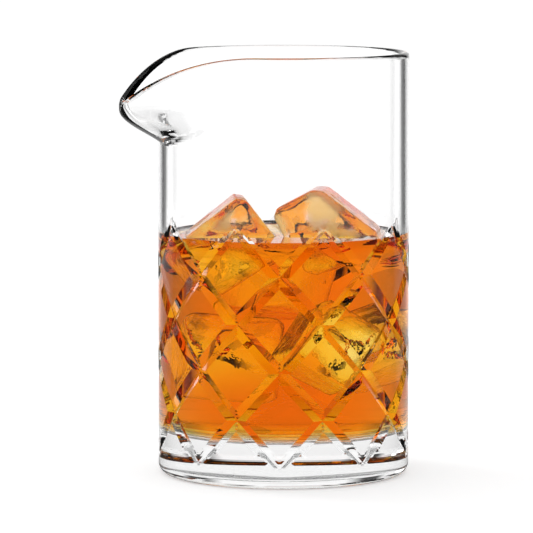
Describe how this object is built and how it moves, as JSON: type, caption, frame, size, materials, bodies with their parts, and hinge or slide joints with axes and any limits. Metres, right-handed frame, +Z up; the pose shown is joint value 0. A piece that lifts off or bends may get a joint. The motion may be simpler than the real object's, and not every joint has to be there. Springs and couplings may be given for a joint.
{
  "type": "mixing glass",
  "caption": "Straight cocktail stirring glass with thick foot, drawn pouring spout and a band of crossing V-cuts, holding an amber drink and ice blocks.",
  "frame": {"origin": "centre of the foot, on the surface the glass stands on", "axes": "+Z up along the axis of the bore; the pouring spout points along -X; XZ is the spout's plane of symmetry"},
  "size_m": [0.106, 0.09, 0.1515],
  "materials": {
    "vessel_glass": "clear pressed soda-lime glass, fire-polished rim, cut band polished",
    "amber_drink": "clear amber liquid, stands in for whisky with bitters and meltwater",
    "clear_ice": "clear ice with melted, wet edges and a few trapped bubbles"
  },
  "bodies": {
    "root": {"glass_vessel": "vessel_glass", "drink": "amber_drink", "ice_spout_side": "clear_ice", "ice_handle_side": "clear_ice", "ice_back": "clear_ice", "ice_front_low": "clear_ice", "ice_right_low": "clear_ice", "ice_left_low": "clear_ice"}
  },
  "joints": []
}
